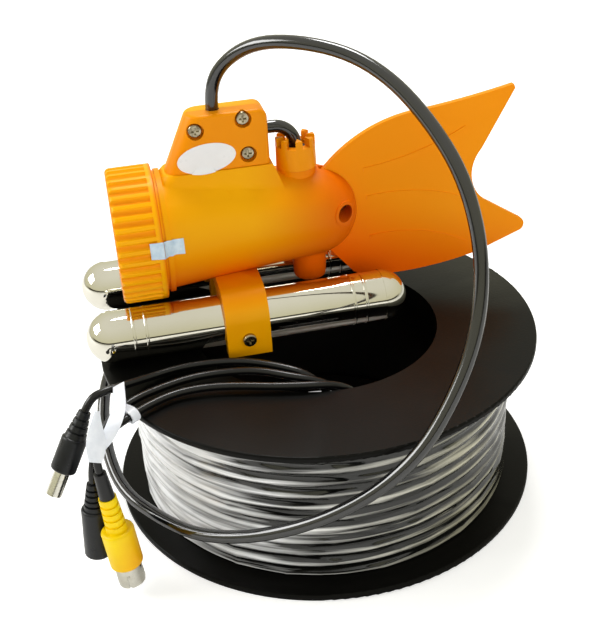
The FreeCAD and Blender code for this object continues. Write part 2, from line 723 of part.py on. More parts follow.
def housing():
    """Moulded housing: neck, collar, barrelled side and stern, with all that grows out of it."""
    body = housing_outside().fuse(along_x(NECK_R, NECK_FRONT, COLLAR_FROM))
    top = pad_form().fuse(block_form().cut(block(0, 200, -20, 0, BLOCK_BASE_Z, 60)))
    body = body.fuse(top)
    body = body.fuse(upright(BOSS_R, 0, BOSS_TOP_Z, GLAND_A))
    body = body.fuse(upright(STUB_R, 0, STUB_TOP_Z, GLAND_A))
    body = with_foot(body)
    body = body.fuse(tail_well_rim())
    body = body.cut(cavity()).cut(ring_groove())
    body = body.cut(upright(CABLE_R + GROOVE_FIT, 0, STUB_TOP_Z, GLAND_A))
    body = body.cut(upright(STUB_BORE_R, SEAL_FROM_Z, STUB_TOP_Z + 1, GLAND_A))
    body = block_cuts(body)
    body = body.cut(tail_slot())
    body = body.cut(cylinder(TAIL_WELL_R, 40, (TAIL_SCREW_A, TAIL_HEAD_Y, TAIL_SCREW_Z), (0, -1, 0)))
    body = body.cut(cylinder(SCREW_R + SCREW_FIT, 12, (TAIL_SCREW_A, TAIL_HEAD_Y - 1, TAIL_SCREW_Z), (0, 1, 0)))
    for a, z in SCREW_PLACES:
        body = body.cut(cylinder(SCREW_R + SCREW_FIT, SCREW_LEN, (a, -1, z), (0, 1, 0)))
    web_z = -housing_radius(CLAMP_FROM) - CLAMP_WEB
    for a in clamp_screw_places():
        body = body.cut(upright(SCREW_R + SCREW_FIT, web_z, web_z + clamp_screw_len() + 0.1, a))
    return body.removeSplitter()


def tail_well_rim():
    """Raised rim round the mouth of the tail screw's well."""
    rim = cylinder(TAIL_WELL_R + TAIL_WELL_RIM, 30, (TAIL_SCREW_A, 0, TAIL_SCREW_Z), (0, -1, 0))
    return rim.common(housing_outside(TAIL_RIM_PROUD))


def tail_slot():
    half = TAIL_T / 2 + TAIL_RIB_PROUD + SLOT_FIT
    return block(TAIL_ROOT_TOP[0] - SLOT_FIT, TAIL_CREST[0], -half, half, -DOME_R * 2, DOME_R * 2)


def cable_block_cover():
    """Near half of the cable block, clamped over the cable by three screws."""
    cover = block_form().common(block(0, 200, -20, -BLOCK_SPLIT_GAP, BLOCK_BASE_Z + BLOCK_SPLIT_GAP, 60))
    cover = block_cuts(cover)
    for a, z in SCREW_PLACES:
        seat = -BLOCK_HALF + SCREW_SINK
        cover = cover.cut(cylinder(SCREW_SINK_R, 20, (a, seat, z), (0, -1, 0)))
        cover = cover.cut(cylinder(SCREW_R + SCREW_FIT, 20, (a, seat - 1, z), (0, 1, 0)))
    return cover


def cover_screws():
    screws = []
    for a, z in SCREW_PLACES:
        seat = Vector(a, -BLOCK_HALF + SCREW_SINK, z)
        screws.append(aimed(pan_screw(SCREW_LEN), seat, Vector(0, 1, 0)))
    return Part.makeCompound(screws)


# Window end

def lens_ring():
    """Ribbed screw ring that presses the window on to the housing's neck."""
    shape = along_x(RING_R, RING_FRONT, RING_REAR)
    front = [e for e in shape.Edges
             if abs(e.CenterOfMass.x - RING_FRONT) < 1e-3 and e.Curve.TypeId == "Part::GeomCircle"]
    shape = shape.makeFillet(1.8, front)
    back = [e for e in shape.Edges
            if abs(e.CenterOfMass.x - RING_REAR) < 1e-3 and e.Curve.TypeId == "Part::GeomCircle"]
    shape = shape.makeFillet(0.5, back)
    start = RING_FRONT - 1
    end = RING_REAR - RIB_LAND_REAR
    centre = RING_R - RIB_DEPTH + FLUTE_R
    flute = cylinder(FLUTE_R, end - start, (start, 0, centre), (1, 0, 0))
    flutes = []
    for number in range(RING_RIBS):
        copy = flute.copy()
        copy.rotate(Vector(0, 0, 0), Vector(1, 0, 0), number * 360 / RING_RIBS)
        flutes.append(copy)
    shape = shape.cut(Part.makeCompound(flutes))
    shape = shape.cut(along_x(RING_BORE_R, RING_FRONT + RING_LIP_T, RING_REAR + 1))
    cone_r = VIEW_R + 1.4
    mouth = Part.makeCone(cone_r, VIEW_R, 1.4, Vector(RING_FRONT, 0, 0), Vector(1, 0, 0))
    return shape.cut(mouth).cut(along_x(VIEW_R, RING_FRONT - 1, RING_REAR))


def slip_washer():
    outer = RING_BORE_R - WINDOW_FIT
    return along_x(outer, WASHER_FROM, WASHER_FROM + WASHER_T).cut(along_x(VIEW_R + 0.2, 0, 60))


def front_window():
    disc = along_x(RING_BORE_R - WINDOW_FIT, WINDOW_FROM, WINDOW_FROM + WINDOW_T)
    return disc.makeChamfer(0.3, disc.Edges[:1] + disc.Edges[2:])


def window_oring():
    return Part.makeTorus(ORING_CENTRE_R, ORING_R, Vector(NECK_FRONT + ORING_R, 0, 0), Vector(1, 0, 0))


def led_board():
    outer = BOARD_BORE_R - BOARD_FIT
    return along_x(outer, BOARD_SEAT - BOARD_T, BOARD_SEAT).cut(along_x(BOARD_HOLE_R, 0, 60))


def led_lamps():
    """Ring of lamps round the lens, each a cylinder with a domed end."""
    face = BOARD_SEAT - BOARD_T
    lamps = []
    for number in range(LED_COUNT):
        turn = math.radians(number * 360 / LED_COUNT)
        y = LED_CIRCLE_R * math.cos(turn)
        z = LED_CIRCLE_R * math.sin(turn)
        barrel = LED_H - LED_R
        lamp = cylinder(LED_R, barrel, (face - barrel, y, z), (1, 0, 0))
        dome = Part.makeSphere(LED_R, Vector(face - barrel, y, z))
        dome = dome.common(block(face - LED_H - 1, face - barrel, y - LED_R, y + LED_R, z - LED_R, z + LED_R))
        lamps.append(lamp.fuse(dome).common(along_x(BOARD_BORE_R, face - LED_H, face)))
    return Part.makeCompound(lamps)


def lens_barrel():
    """Camera lens barrel, stepped at the front round its glass."""
    end = BARREL_FRONT + BARREL_LEN
    barrel = along_x(BARREL_R, BARREL_FRONT, end)
    barrel = barrel.cut(Part.makeCone(BARREL_R - 0.8, LENS_R, 2.0, Vector(BARREL_FRONT, 0, 0), Vector(1, 0, 0)))
    return barrel.cut(along_x(LENS_R, BARREL_FRONT, BARREL_FRONT + LENS_SEAT))


def lens_glass():
    seat = BARREL_FRONT + LENS_SEAT
    bulge = Part.makeSphere(LENS_R * 1.5, Vector(seat - 1.2 + LENS_R * 1.5, 0, 0))
    return bulge.common(along_x(LENS_R - 0.05, seat - 3, seat - 0.02))


def lens_carrier():
    """Disc on three posts behind the lamp board; it holds the lens barrel."""
    end = CARRIER_FROM + CARRIER_T
    shape = along_x(CARRIER_R, CARRIER_FROM, end).cut(along_x(BARREL_R + 0.05, 0, 60))
    for number in range(3):
        turn = math.radians(number * 120 + 90)
        y = POST_CIRCLE_R * math.cos(turn)
        z = POST_CIRCLE_R * math.sin(turn)
        shape = shape.fuse(cylinder(POST_R, CARRIER_FROM - BOARD_SEAT, (BOARD_SEAT, y, z), (1, 0, 0)))
    return shape


def sensor_board():
    start = CARRIER_FROM + CARRIER_T
    half = SENSOR_BOARD_W / 2
    return block(start, start + SENSOR_BOARD_T, -half, half, -half, half)


# Gland

def gland_nut():
    """Castellated nut that squeezes the seal on to the cable."""
    body = Part.makeCone(NUT_R, NUT_TOP_R, NUT_H, Vector(GLAND_A, 0, NUT_FROM_Z), Vector(0, 0, 1))
    top = [e for e in body.Edges if abs(e.CenterOfMass.z - NUT_TOP_Z) < 1e-3 and e.Curve.TypeId == "Part::GeomCircle"]
    body = body.makeFillet(0.5, top)
    body = body.cut(upright(NUT_EYE_R, 0, 60, GLAND_A))
    body = body.cut(upright(STUB_R + THREAD_FIT, NUT_FROM_Z - 1, STUB_TOP_Z + SEAL_FIT, GLAND_A))
    half = NUT_NOTCH_W / 2
    notch = block(0, NUT_R + 1, -half, half, NUT_TOP_Z - NUT_NOTCH_DEPTH, NUT_TOP_Z + 1)
    for number in range(NUT_TEETH):
        cut = notch.copy()
        cut.rotate(Vector(0, 0, 0), Vector(0, 0, 1), (number + 0.5) * 360 / NUT_TEETH)
        cut.translate(Vector(GLAND_A, 0, 0))
        body = body.cut(cut)
    return body


def gland_seal():
    sleeve = upright(STUB_BORE_R - SEAL_FIT, SEAL_FROM_Z, STUB_TOP_Z, GLAND_A)
    return sleeve.cut(upright(CABLE_R + SEAL_FIT, 0, 60, GLAND_A))


# Tail

def tail_fin():
    """Thin forked tail with faint raised rays; its root fills the slot in the stern."""
    def at(point):
        return (point[0], 0, point[1])

    edges = [
        arc(at(TAIL_ROOT_TOP), at(TAIL_BACK), at(TAIL_CREST)),
        arc(at(TAIL_CREST), at(TAIL_RISE), at(TAIL_TOP_TIP)),
        line(at(TAIL_TOP_TIP), at(TAIL_TOP_CORNER)),
        line(at(TAIL_TOP_CORNER), at(TAIL_NOTCH_IN)),
        arc(at(TAIL_NOTCH_IN), at(TAIL_NOTCH), at(TAIL_NOTCH_OUT)),
        line(at(TAIL_NOTCH_OUT), at(TAIL_LOW_IN)),
        arc(at(TAIL_LOW_IN), at(TAIL_LOW_TIP), at(TAIL_LOW_OUT)),
        line(at(TAIL_LOW_OUT), at(TAIL_KEEL_REAR)),
        arc(at(TAIL_KEEL_REAR), at(TAIL_KEEL_BOW), at(TAIL_KEEL)),
        arc(at(TAIL_KEEL), at(TAIL_KEEL_NOSE), at(TAIL_KEEL_FRONT)),
        line(at(TAIL_KEEL_FRONT), at(TAIL_ROOT_LOW)),
        line(at(TAIL_ROOT_LOW), at(TAIL_ROOT_TOP))]
    face = Part.Face(Part.Wire(edges))
    plate = face.extrude(Vector(0, TAIL_T, 0))
    plate.translate(Vector(0, -TAIL_T / 2, 0))
    for ray in TAIL_RAYS:
        plate = plate.fuse(tail_ray([at(point) for point in ray]))
    hole = cylinder(SCREW_R + SCREW_FIT, TAIL_SCREW_LEN * 2, (TAIL_SCREW_A, -TAIL_SCREW_LEN, TAIL_SCREW_Z), (0, 1, 0))
    return plate.cut(hole)


def tail_ray(points):
    """Low raised ray on both faces of the tail, swept along an arc through three points."""
    spine = arc(*points)
    start = Vector(*points[0])
    along = spine.tangentAt(spine.FirstParameter)
    half = TAIL_T / 2 + TAIL_RIB_PROUD
    across = along.cross(Vector(0, 1, 0)) * (TAIL_RIB_W / 2)
    deep = Vector(0, half, 0)
    corners = [start + across + deep, start - across + deep, start - across - deep, start + across - deep]
    section = Part.makePolygon(corners + corners[:1])
    return Part.Wire([spine]).makePipeShell([section], True, False)


def tail_screw():
    seat = Vector(TAIL_SCREW_A, TAIL_HEAD_Y, TAIL_SCREW_Z)
    return aimed(pan_screw(TAIL_SCREW_LEN), seat, Vector(0, 1, 0))


# Leads and plugs

def axis_of(top, end):
    direction = Vector(*end) - Vector(*top)
    direction.normalize()
    return direction


def main_cable():
    start = point_on_reel(CABLE_TOP_A, 0, BLOCK_TOP_Z)
    rise = start + Vector(0, 0, CABLE_RISE)
    return cord("main_cable", [start, rise] + [Vector(*p) for p in MAIN_ROUTE], CABLE_R)


def lead(name, index, points, top, end, run_in):
    """A lead from the breakout's top, over the rim and straight into its plug."""
    start = lead_exit(index)
    arrive = Vector(*top)
    inner = [Vector(*p) for p in points]
    straight = arrive - axis_of(top, end) * run_in
    return cord(name, [start, start + Vector(0, 0, LEAD_RISE)] + inner + [straight, arrive], LEAD_R)


def ribbed_relief(length, top_r, bottom_r, ribs):
    """Tapered strain relief with grooves round it, drawn from its thin end along +Z."""
    cone = Part.makeCone(top_r, bottom_r, length)
    pitch = length / (ribs + 1)
    for number in range(ribs):
        z = (number + 0.8) * pitch
        outer = top_r + (bottom_r - top_r) * z / length
        ring = upright(outer + 1, z, z + pitch * 0.4).cut(upright(outer - 0.55, z - 1, z + pitch))
        cone = cone.cut(ring)
    return cone


def power_plug():
    """Moulded body of the barrel plug, with its ribbed relief."""
    total = axis_length(POWER_TOP, POWER_END)
    relief = total - POWER_BODY_LEN - BARREL_PIN_LEN
    body = ribbed_relief(relief, RELIEF_TOP_R, POWER_BODY_R - 0.6, 3)
    grip = upright(POWER_BODY_R, relief, relief + POWER_BODY_LEN)
    rims = [e for e in grip.Edges if e.Curve.TypeId == "Part::GeomCircle"]
    body = body.fuse(grip.makeFillet(0.9, rims))
    return aimed(body, Vector(*POWER_TOP), axis_of(POWER_TOP, POWER_END))


def power_barrel():
    total = axis_length(POWER_TOP, POWER_END)
    start = total - BARREL_PIN_LEN
    shell = upright(BARREL_PIN_R, start, total).cut(upright(BARREL_BORE_R, start + 1, total + 1))
    return aimed(shell, Vector(*POWER_TOP), axis_of(POWER_TOP, POWER_END))


def axis_length(top, end):
    return (Vector(*end) - Vector(*top)).Length


def video_sleeve():
    """Black sleeve over the lead above the video plug."""
    sleeve = Part.makeCone(RELIEF_TOP_R, 2.6, SLEEVE_LEN)
    return aimed(sleeve, Vector(*VIDEO_TOP), axis_of(VIDEO_TOP, VIDEO_END))


def video_plug():
    """Yellow moulded body with a ribbed neck."""
    body = ribbed_relief(VIDEO_NECK_LEN, 3.0, 3.6, 4)
    grip = upright(VIDEO_BODY_R, VIDEO_NECK_LEN, VIDEO_NECK_LEN + VIDEO_BODY_LEN)
    rims = [e for e in grip.Edges if e.Curve.TypeId == "Part::GeomCircle"]
    body = body.fuse(grip.makeFillet(1.1, rims))
    body.translate(Vector(0, 0, SLEEVE_LEN))
    return aimed(body, Vector(*VIDEO_TOP), axis_of(VIDEO_TOP, VIDEO_END))


def video_face():
    return SLEEVE_LEN + VIDEO_NECK_LEN + VIDEO_BODY_LEN


def video_shell():
    """Split outer contact of the video plug."""
    start = video_face()
    shell = upright(VIDEO_SHELL_R, start, start + VIDEO_SHELL_LEN)
    shell = shell.cut(upright(VIDEO_SHELL_R - 0.5, start + 0.8, start + VIDEO_SHELL_LEN + 1))
    shell = shell.cut(upright(VIDEO_PIN_R + 0.6, start - 1, start + 2))
    for number in range(4):
        slit = block(0, VIDEO_SHELL_R + 1, -0.5, 0.5, start + 2.2, start + VIDEO_SHELL_LEN + 1)
        slit.rotate(Vector(0, 0, 0), Vector(0, 0, 1), number * 90 + 45)
        shell = shell.cut(slit)
    return aimed(shell, Vector(*VIDEO_TOP), axis_of(VIDEO_TOP, VIDEO_END))


def video_pin():
    start = video_face()
    pin = upright(VIDEO_PIN_R, start, start + VIDEO_PIN_LEN)
    end = [e for e in pin.Edges
           if abs(e.CenterOfMass.z - start - VIDEO_PIN_LEN) < 1e-3 and e.Curve.TypeId == "Part::GeomCircle"]
    return aimed(pin.makeFillet(1.0, end), Vector(*VIDEO_TOP), axis_of(VIDEO_TOP, VIDEO_END))


def light_socket():
    """Black in-line socket for the lamps' supply."""
    total = axis_length(LIGHT_TOP, LIGHT_END)
    relief = total * 0.34
    body = ribbed_relief(relief, RELIEF_TOP_R, LIGHT_BODY_R - 0.9, 4)
    grip = upright(LIGHT_BODY_R, relief, total)
    rims = [e for e in grip.Edges if e.Curve.TypeId == "Part::GeomCircle"]
    body = body.fuse(grip.makeFillet(0.8, rims)).cut(upright(BARREL_PIN_R + 0.1, total - 9, total + 1))
    return aimed(body, Vector(*LIGHT_TOP), axis_of(LIGHT_TOP, LIGHT_END))


def between(a, b, share):
    return Vector(*a) + (Vector(*b) - Vector(*a)) * share


def lead_tie():
    """Flat white band round the video and light leads where they pass over the rim."""
    first = between(VIDEO_ROUTE[-4], VIDEO_ROUTE[-3], TIE_ON_VIDEO)
    second = between(LIGHT_ROUTE[-3], LIGHT_ROUTE[-2], TIE_ON_LIGHT)
    along = Vector(*VIDEO_ROUTE[-3]) - Vector(*VIDEO_ROUTE[-4])
    along += Vector(*LIGHT_ROUTE[-2]) - Vector(*LIGHT_ROUTE[-3])
    along.normalize()
    across = second - first
    across -= along * across.dot(along)
    spread = across.Length
    across.normalize()
    up = along.cross(across)
    inner_r = LEAD_R + TIE_FIT
    band = stadium(spread, inner_r + TIE_T, TIE_W).cut(stadium(spread, inner_r, 2 * TIE_W))
    turn = FreeCAD.Rotation(across, up, along, "ZXY")
    band.Placement = FreeCAD.Placement((first + second) * 0.5, turn)
    return band


def stadium(spread, radius, width):
    """A flat-sided oval prism round two parallel leads, centred on its own origin."""
    half = width / 2
    shape = block(-spread / 2, spread / 2, -radius, radius, -half, half)
    for side in (-1, 1):
        shape = shape.fuse(upright(radius, -half, half, side * spread / 2))
    return shape.removeSplitter()


REEL_PIECES = {
    "reel_lower_flange": reel_lower_flange,
    "reel_upper_flange": reel_upper_flange,
    "reel_core": reel_core,
    "cable_winding": cable_winding,
    "film_wrap": film_wrap,
    "cable_breakout": cable_breakout,
    "main_cable": main_cable,
    "lead_power": lambda: lead("lead_power", -1, POWER_ROUTE, POWER_TOP, POWER_END, POWER_RUN_IN),
    "lead_light": lambda: lead("lead_light", 0, LIGHT_ROUTE, LIGHT_TOP, LIGHT_END, PLUG_RUN_IN),
    "lead_video": lambda: lead("lead_video", 1, VIDEO_ROUTE, VIDEO_TOP, VIDEO_END, PLUG_RUN_IN),
    "power_plug": power_plug,
    "power_barrel": power_barrel,
    "video_sleeve": video_sleeve,
    "video_plug": video_plug,
    "video_shell": video_shell,
    "video_pin": video_pin,
    "light_socket": light_socket,
    "lead_tie": lead_tie,
}

CAMERA_PIECES = {
    "housing": housing,
    "cable_block_cover": cable_block_cover,
    "cover_screws": cover_screws,
    "camera_cable_end": held_cable,
    "gland_nut": gland_nut,
    "gland_seal": gland_seal,
    "lens_ring": lens_ring,
    "slip_washer": slip_washer,
    "front_window": front_window,
    "window_oring": window_oring,
    "led_board": led_board,
    "led_lamps": led_lamps,
    "lens_barrel": lens_barrel,
    "lens_glass": lens_glass,
    "lens_carrier": lens_carrier,
    "sensor_board": sensor_board,
    "tube_clamp": tube_clamp,
    "clamp_screws": clamp_screws,
    "tail_fin": tail_fin,
    "tail_screw": tail_screw,
}

SIDED_PIECES = {
    "ballast_tube": ballast_tube,
    "ballast_caps": end_caps,
    "ballast_slug": ballast_slug,
    "lock_screw": lock_screw,
}


def write(name, shape):
    if not shape.isValid():
        print(f"{name}: not valid")
    shape.exportStep(f"parts/{name}.step")


def build():
    os.makedirs("parts", exist_ok=True)
    for name, make in REEL_PIECES.items():
        write(name, make())
    for name, make in CAMERA_PIECES.items():
        write(name, on_reel(make()))
    for name, make in SIDED_PIECES.items():
        for side, label in ((-1, "near"), (1, "far")):
            write(f"{name}_{label}", on_reel(make(side)))


build()
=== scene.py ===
import json
from math import atan2, cos, hypot, pi, radians, sin
import bpy
from mathutils import Matrix, Vector, noise
from mathutils.bvhtree import BVHTree

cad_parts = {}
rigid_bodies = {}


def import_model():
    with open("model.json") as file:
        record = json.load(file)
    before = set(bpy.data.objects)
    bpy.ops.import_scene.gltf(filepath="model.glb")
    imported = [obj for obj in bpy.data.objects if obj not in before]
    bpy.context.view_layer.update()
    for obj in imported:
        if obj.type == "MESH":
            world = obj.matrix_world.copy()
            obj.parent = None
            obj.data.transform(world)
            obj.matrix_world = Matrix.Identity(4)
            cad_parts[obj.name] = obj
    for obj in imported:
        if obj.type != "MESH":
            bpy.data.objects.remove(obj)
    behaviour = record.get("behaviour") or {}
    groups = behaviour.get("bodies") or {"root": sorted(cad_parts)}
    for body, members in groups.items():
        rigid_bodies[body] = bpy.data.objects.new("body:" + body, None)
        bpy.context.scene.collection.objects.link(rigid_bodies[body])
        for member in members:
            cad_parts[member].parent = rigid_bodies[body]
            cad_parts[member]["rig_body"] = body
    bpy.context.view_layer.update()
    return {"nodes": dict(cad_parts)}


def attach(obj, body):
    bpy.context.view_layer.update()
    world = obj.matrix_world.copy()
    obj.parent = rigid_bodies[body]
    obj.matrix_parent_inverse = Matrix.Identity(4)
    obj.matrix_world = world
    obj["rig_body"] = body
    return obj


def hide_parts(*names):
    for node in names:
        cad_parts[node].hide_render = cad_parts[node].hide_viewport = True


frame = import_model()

# Camera.
# It stands in front of the reel, a little above it, and is tilted down and
# slightly rolled, so that the two flanges show as flat ellipses.
lens = bpy.data.cameras.new("photo_lens")
lens.sensor_width = 36
lens.lens = 60.85
camera = bpy.data.objects.new("photo_camera", lens)
bpy.context.scene.collection.objects.link(camera)
camera.matrix_world = Matrix((
    (0.99856, 0.05145, 0.01549, 0.0),
    (-0.01256, 0.50379, -0.86373, -0.3366),
    (-0.05224, 0.86229, 0.50371, 0.2625),
    (0, 0, 0, 1)))
bpy.context.scene.camera = camera

# Reel.
# Two flat flanges and a tube, moulded in satin black and pressed together.
# The cable divides in a black block on the inner wall of the hub.
MERGE_WITHIN = 0.000002


def linear(r, g, b):
    """A colour that is written as it looks on a screen, as the shaders want it."""
    return tuple((c / 255 / 12.92 if c < 11 else ((c / 255 + 0.055) / 1.055) ** 2.4)
                 for c in (r, g, b)) + (1.0,)


class Nodes:
    """Short words for making and joining the nodes of one tree."""

    def __init__(self, tree):
        self.tree = tree

    def feed(self, node, inputs):
        for label, value in inputs.items():
            if isinstance(value, bpy.types.NodeSocket):
                self.tree.links.new(value, node.inputs[label])
            else:
                node.inputs[label].default_value = value
        return node

    def add(self, kind, inputs=None, **settings):
        node = self.tree.nodes.new(kind)
        for label, value in settings.items():
            setattr(node, label, value)
        return self.feed(node, inputs or {})

    def math(self, operation, *values, clamp=False):
        return self.add("ShaderNodeMath", dict(enumerate(values)), operation=operation,
                        use_clamp=clamp).outputs[0]

    def mix(self, factor, a, b):
        return self.add("ShaderNodeMix", {"Factor": factor, "A": a, "B": b},
                        data_type="RGBA").outputs["Result"]

    def spread(self, value, low, high, to_low=0.0, to_high=1.0):
        return self.add("ShaderNodeMapRange", {"Value": value, "From Min": low, "From Max": high,
                                               "To Min": to_low, "To Max": to_high}).outputs["Result"]


def effect_group(name, inputs, outputs):
    """An empty node group with named inputs and outputs, for an effect that materials share."""
    group = bpy.data.node_groups.new(name, "ShaderNodeTree")
    for way, sockets in (("INPUT", inputs), ("OUTPUT", outputs)):
        for label, kind in sockets.items():
            group.interface.new_socket(name=label, in_out=way, socket_type="NodeSocket" + kind)
    made = Nodes(group)
    given = made.add("NodeGroupInput").outputs
    return group, made, given, made.add("NodeGroupOutput")


def surface_group():
    """Slow colour change, change of gloss and a fine skin for moulded and drawn pieces."""
    group, made, given, out = effect_group(
        "worked_surface",
        {"Colour": "Color", "Second colour": "Color", "Patch size": "Float", "Patches": "Float",
         "Roughness": "Float", "Roughness change": "Float", "Grain size": "Float",
         "Grain depth": "Float"},
        {"Colour": "Color", "Roughness": "Float", "Normal": "Vector"})
    place = made.add("ShaderNodeTexCoord").outputs["Object"]
    patches = made.add("ShaderNodeTexNoise", {
        "Vector": place, "Detail": 3.0, "Scale": made.math("DIVIDE", 1.0, given["Patch size"])})
    grain = made.add("ShaderNodeTexNoise", {
        "Vector": place, "Detail": 2.0, "Scale": made.math("DIVIDE", 1.0, given["Grain size"])})
    tint = made.spread(patches.outputs["Fac"], 0.3, 0.7)
    bump = made.add("ShaderNodeBump", {"Strength": 1.0, "Distance": given["Grain depth"],
                                       "Height": grain.outputs["Fac"]})
    made.feed(out, {
        "Colour": made.mix(made.math("MULTIPLY", tint, given["Patches"]), given["Colour"],
                           given["Second colour"]),
        "Roughness": made.math("MULTIPLY_ADD", made.math("SUBTRACT", tint, 0.5),
                               given["Roughness change"], given["Roughness"]),
        "Normal": bump.outputs["Normal"]})
    return group


def run_group():
    """A colour that goes over into another along one direction; on several pieces it is painted shade.
    """
    group, made, given, out = effect_group(
        "colour_run",
        {"Colour": "Color", "Far colour": "Color", "Direction": "Vector", "Start": "Float",
         "End": "Float"},
        {"Colour": "Color"})
    place = made.add("ShaderNodeTexCoord").outputs["Object"]
    along = made.add("ShaderNodeVectorMath", {0: place, 1: given["Direction"]},
                     operation="DOT_PRODUCT").outputs["Value"]
    share = made.add("ShaderNodeMapRange", {"Value": along, "From Min": given["Start"],
                                            "From Max": given["End"]},
                     interpolation_type="SMOOTHSTEP").outputs["Result"]
    made.feed(out, {"Colour": made.mix(share, given["Colour"], given["Far colour"])})
    return group


worked_surface = surface_group()
colour_run = run_group()


def worked(name, colour, second, patch=0.02, patches=0.5, roughness=0.4, change=0.1,
           grain=0.0006, depth=0.00002, run=None, **fixed):
    """A material with the worked surface, and further values set on the shader's sockets."""
    material = bpy.data.materials.new(name)
    material.use_nodes = True
    made = Nodes(material.node_tree)
    shader = material.node_tree.nodes["Principled BSDF"]
    skin = made.add("ShaderNodeGroup", {}, node_tree=worked_surface)
    made.feed(skin, {"Colour": linear(*colour), "Second colour": linear(*second),
                     "Patch size": patch, "Patches": patches, "Roughness": roughness,
                     "Roughness change": change, "Grain size": grain, "Grain depth": depth})
    shade = skin.outputs["Colour"]
    for far, direction, start, end in run or ():
        shade = made.feed(made.add("ShaderNodeGroup", {}, node_tree=colour_run), {
            "Colour": shade, "Far colour": linear(*far), "Direction": direction,
            "Start": start, "End": end}).outputs["Colour"]
    made.feed(shader, {"Base Color": shade, "Roughness": skin.outputs["Roughness"],
                       "Normal": skin.outputs["Normal"]})
    made.feed(shader, {label.replace("_", " "): value for label, value in fixed.items()})
    return material


def only(piece):
    """Makes one piece the selected and active one."""
    bpy.ops.object.select_all(action="DESELECT")
    piece.select_set(True)
    bpy.context.view_layer.objects.active = piece


def with_modifier(piece, kind, **settings):
    """Adds a modifier to a piece and applies it."""
    only(piece)
    modifier = piece.modifiers.new(kind.lower(), kind)
    for label, value in settings.items():
        setattr(modifier, label, value)
    bpy.ops.object.modifier_apply(modifier=modifier.name)


def finished(node, material, crease=35, softened=0):
    """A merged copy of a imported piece, shaded smooth up to a crease, which stands for it."""
    source = frame["nodes"][node]
    piece = bpy.data.objects.new(node + "_piece", source.data.copy())
    bpy.context.scene.collection.objects.link(piece)
    only(piece)
    bpy.ops.object.mode_set(mode="EDIT")
    bpy.ops.mesh.select_all(action="SELECT")
    bpy.ops.mesh.remove_doubles(threshold=MERGE_WITHIN)
    bpy.ops.mesh.select_all(action="DESELECT")
    bpy.ops.object.mode_set(mode="OBJECT")
    if piece.data.has_custom_normals:
        bpy.ops.mesh.customdata_custom_splitnormals_clear()
    if softened:
        with_modifier(piece, "BEVEL", width=softened, segments=2, limit_method="ANGLE",
                      angle_limit=radians(crease))
    only(piece)
    bpy.ops.object.shade_smooth_by_angle(angle=radians(crease))
    piece.data.materials.clear()
    piece.data.materials.append(material)
    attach(piece, source["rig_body"])
    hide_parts(node)
    return piece


def painted(node, material):
    """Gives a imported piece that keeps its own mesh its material."""
    data = frame["nodes"][node].data
    data.materials.clear()
    data.materials.append(material)


reel_black = worked("reel_plastic", (7, 7, 6), (14, 13, 11), patch=0.05, roughness=0.36, change=0.12,
                    grain=0.0009, depth=0.00003, Specular_IOR_Level=0.1)
for node in ("reel_lower_flange", "reel_upper_flange", "reel_core"):
    finished(node, reel_black)
moulded_black = worked("moulded_black", (13, 13, 14), (26, 26, 28), patch=0.01, roughness=0.3,
                       grain=0.0005, depth=0.00002, Specular_IOR_Level=0.4)
finished("cable_breakout", moulded_black)

# Main cable.
# A stiff round cable with a glossy black jacket comes up out of the block on
# the camera's back, swings round in front of the reel, slips in behind the
# film and lies in five layers on the core, each turn beside the last.
CABLE_D = 0.0045


def cable_line(name, points, diameter, material, steps=5):
    """A round cord on one smooth line that is led by the given points, in millimetres."""
    curve = bpy.data.curves.new(name, "CURVE")
    curve.dimensions = "3D"
    spline = curve.splines.new("NURBS")
    spline.points.add(len(points) - 1)
    for leading, point in zip(spline.points, points):
        leading.co = (*(c / 1000 for c in point), 1)
    spline.order_u = 3
    spline.use_endpoint_u = True
    curve.resolution_u = steps
    spline.resolution_u = steps
    curve.bevel_depth = diameter / 2
    curve.bevel_resolution = 3
    curve.use_fill_caps = True
    curve.materials.append(material)
    piece = bpy.data.objects.new(name, curve)
    bpy.context.scene.collection.objects.link(piece)
    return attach(piece, "camera_on_reel")


free_part = [
    (-32.1, 10.4, 142.3), (-32.1, 10.4, 149.9), (-26.6, 7.7, 159.4), (-15.5, 0.0, 167.3),
    (-1.0, -9.5, 169.5), (14.6, -18.0, 167.4), (26.9, -28.7, 161.4), (36.7, -40.2, 151.8),
    (44.3, -51.5, 140.5), (48.7, -58.9, 124.9), (49.5, -64.6, 107.9), (46.1, -71.0, 91.5),
    (38.9, -76.8, 76.1), (29.7, -81.4, 61.7), (17.1, -82.7, 49.4), (2.5, -81.8, 39.2),
    (-13.0, -78.7, 30.8), (-29.0, -73.7, 24.3), (-44.7, -66.3, 19.9), (-58.6, -55.1, 18.9),
    (-71.7, -43.5, 20.9), (-78.6, -29.9, 27.3), (-81.4, -16.0, 37.6), (-80.2, -0.4, 44.6),
    (-75.2, 15.7, 48.2), (-67.7, 31.1, 49.9), (-57.1, 44.6, 50.0)]
POINTS_PER_TURN = 16
# Leading points stand a little further out than the line that they lead.
LEADING_OUT = 1 / 0.9809
# Each layer's radius, the heights at which it starts and ends, and its turns.
LAYERS = ((67.95, 50.0, 5.3, 9), (63.35, 5.3, 55.3, 10), (58.75, 55.3, 5.3, 10),
          (54.15, 5.3, 55.3, 10), (49.55, 55.3, 30.3, 5))
INNERMOST_R = 48.4
WINDING_START_DEGREES = 76
WINDING_START = radians(WINDING_START_DEGREES)
# Two places, by radius and angle, lead the cable in behind the film.
lead_in = [(r * LEADING_OUT * cos(radians(a)), r * LEADING_OUT * sin(radians(a)), 50.0)
           for r, a in ((70.9, 121), (69.2, 98.5))]


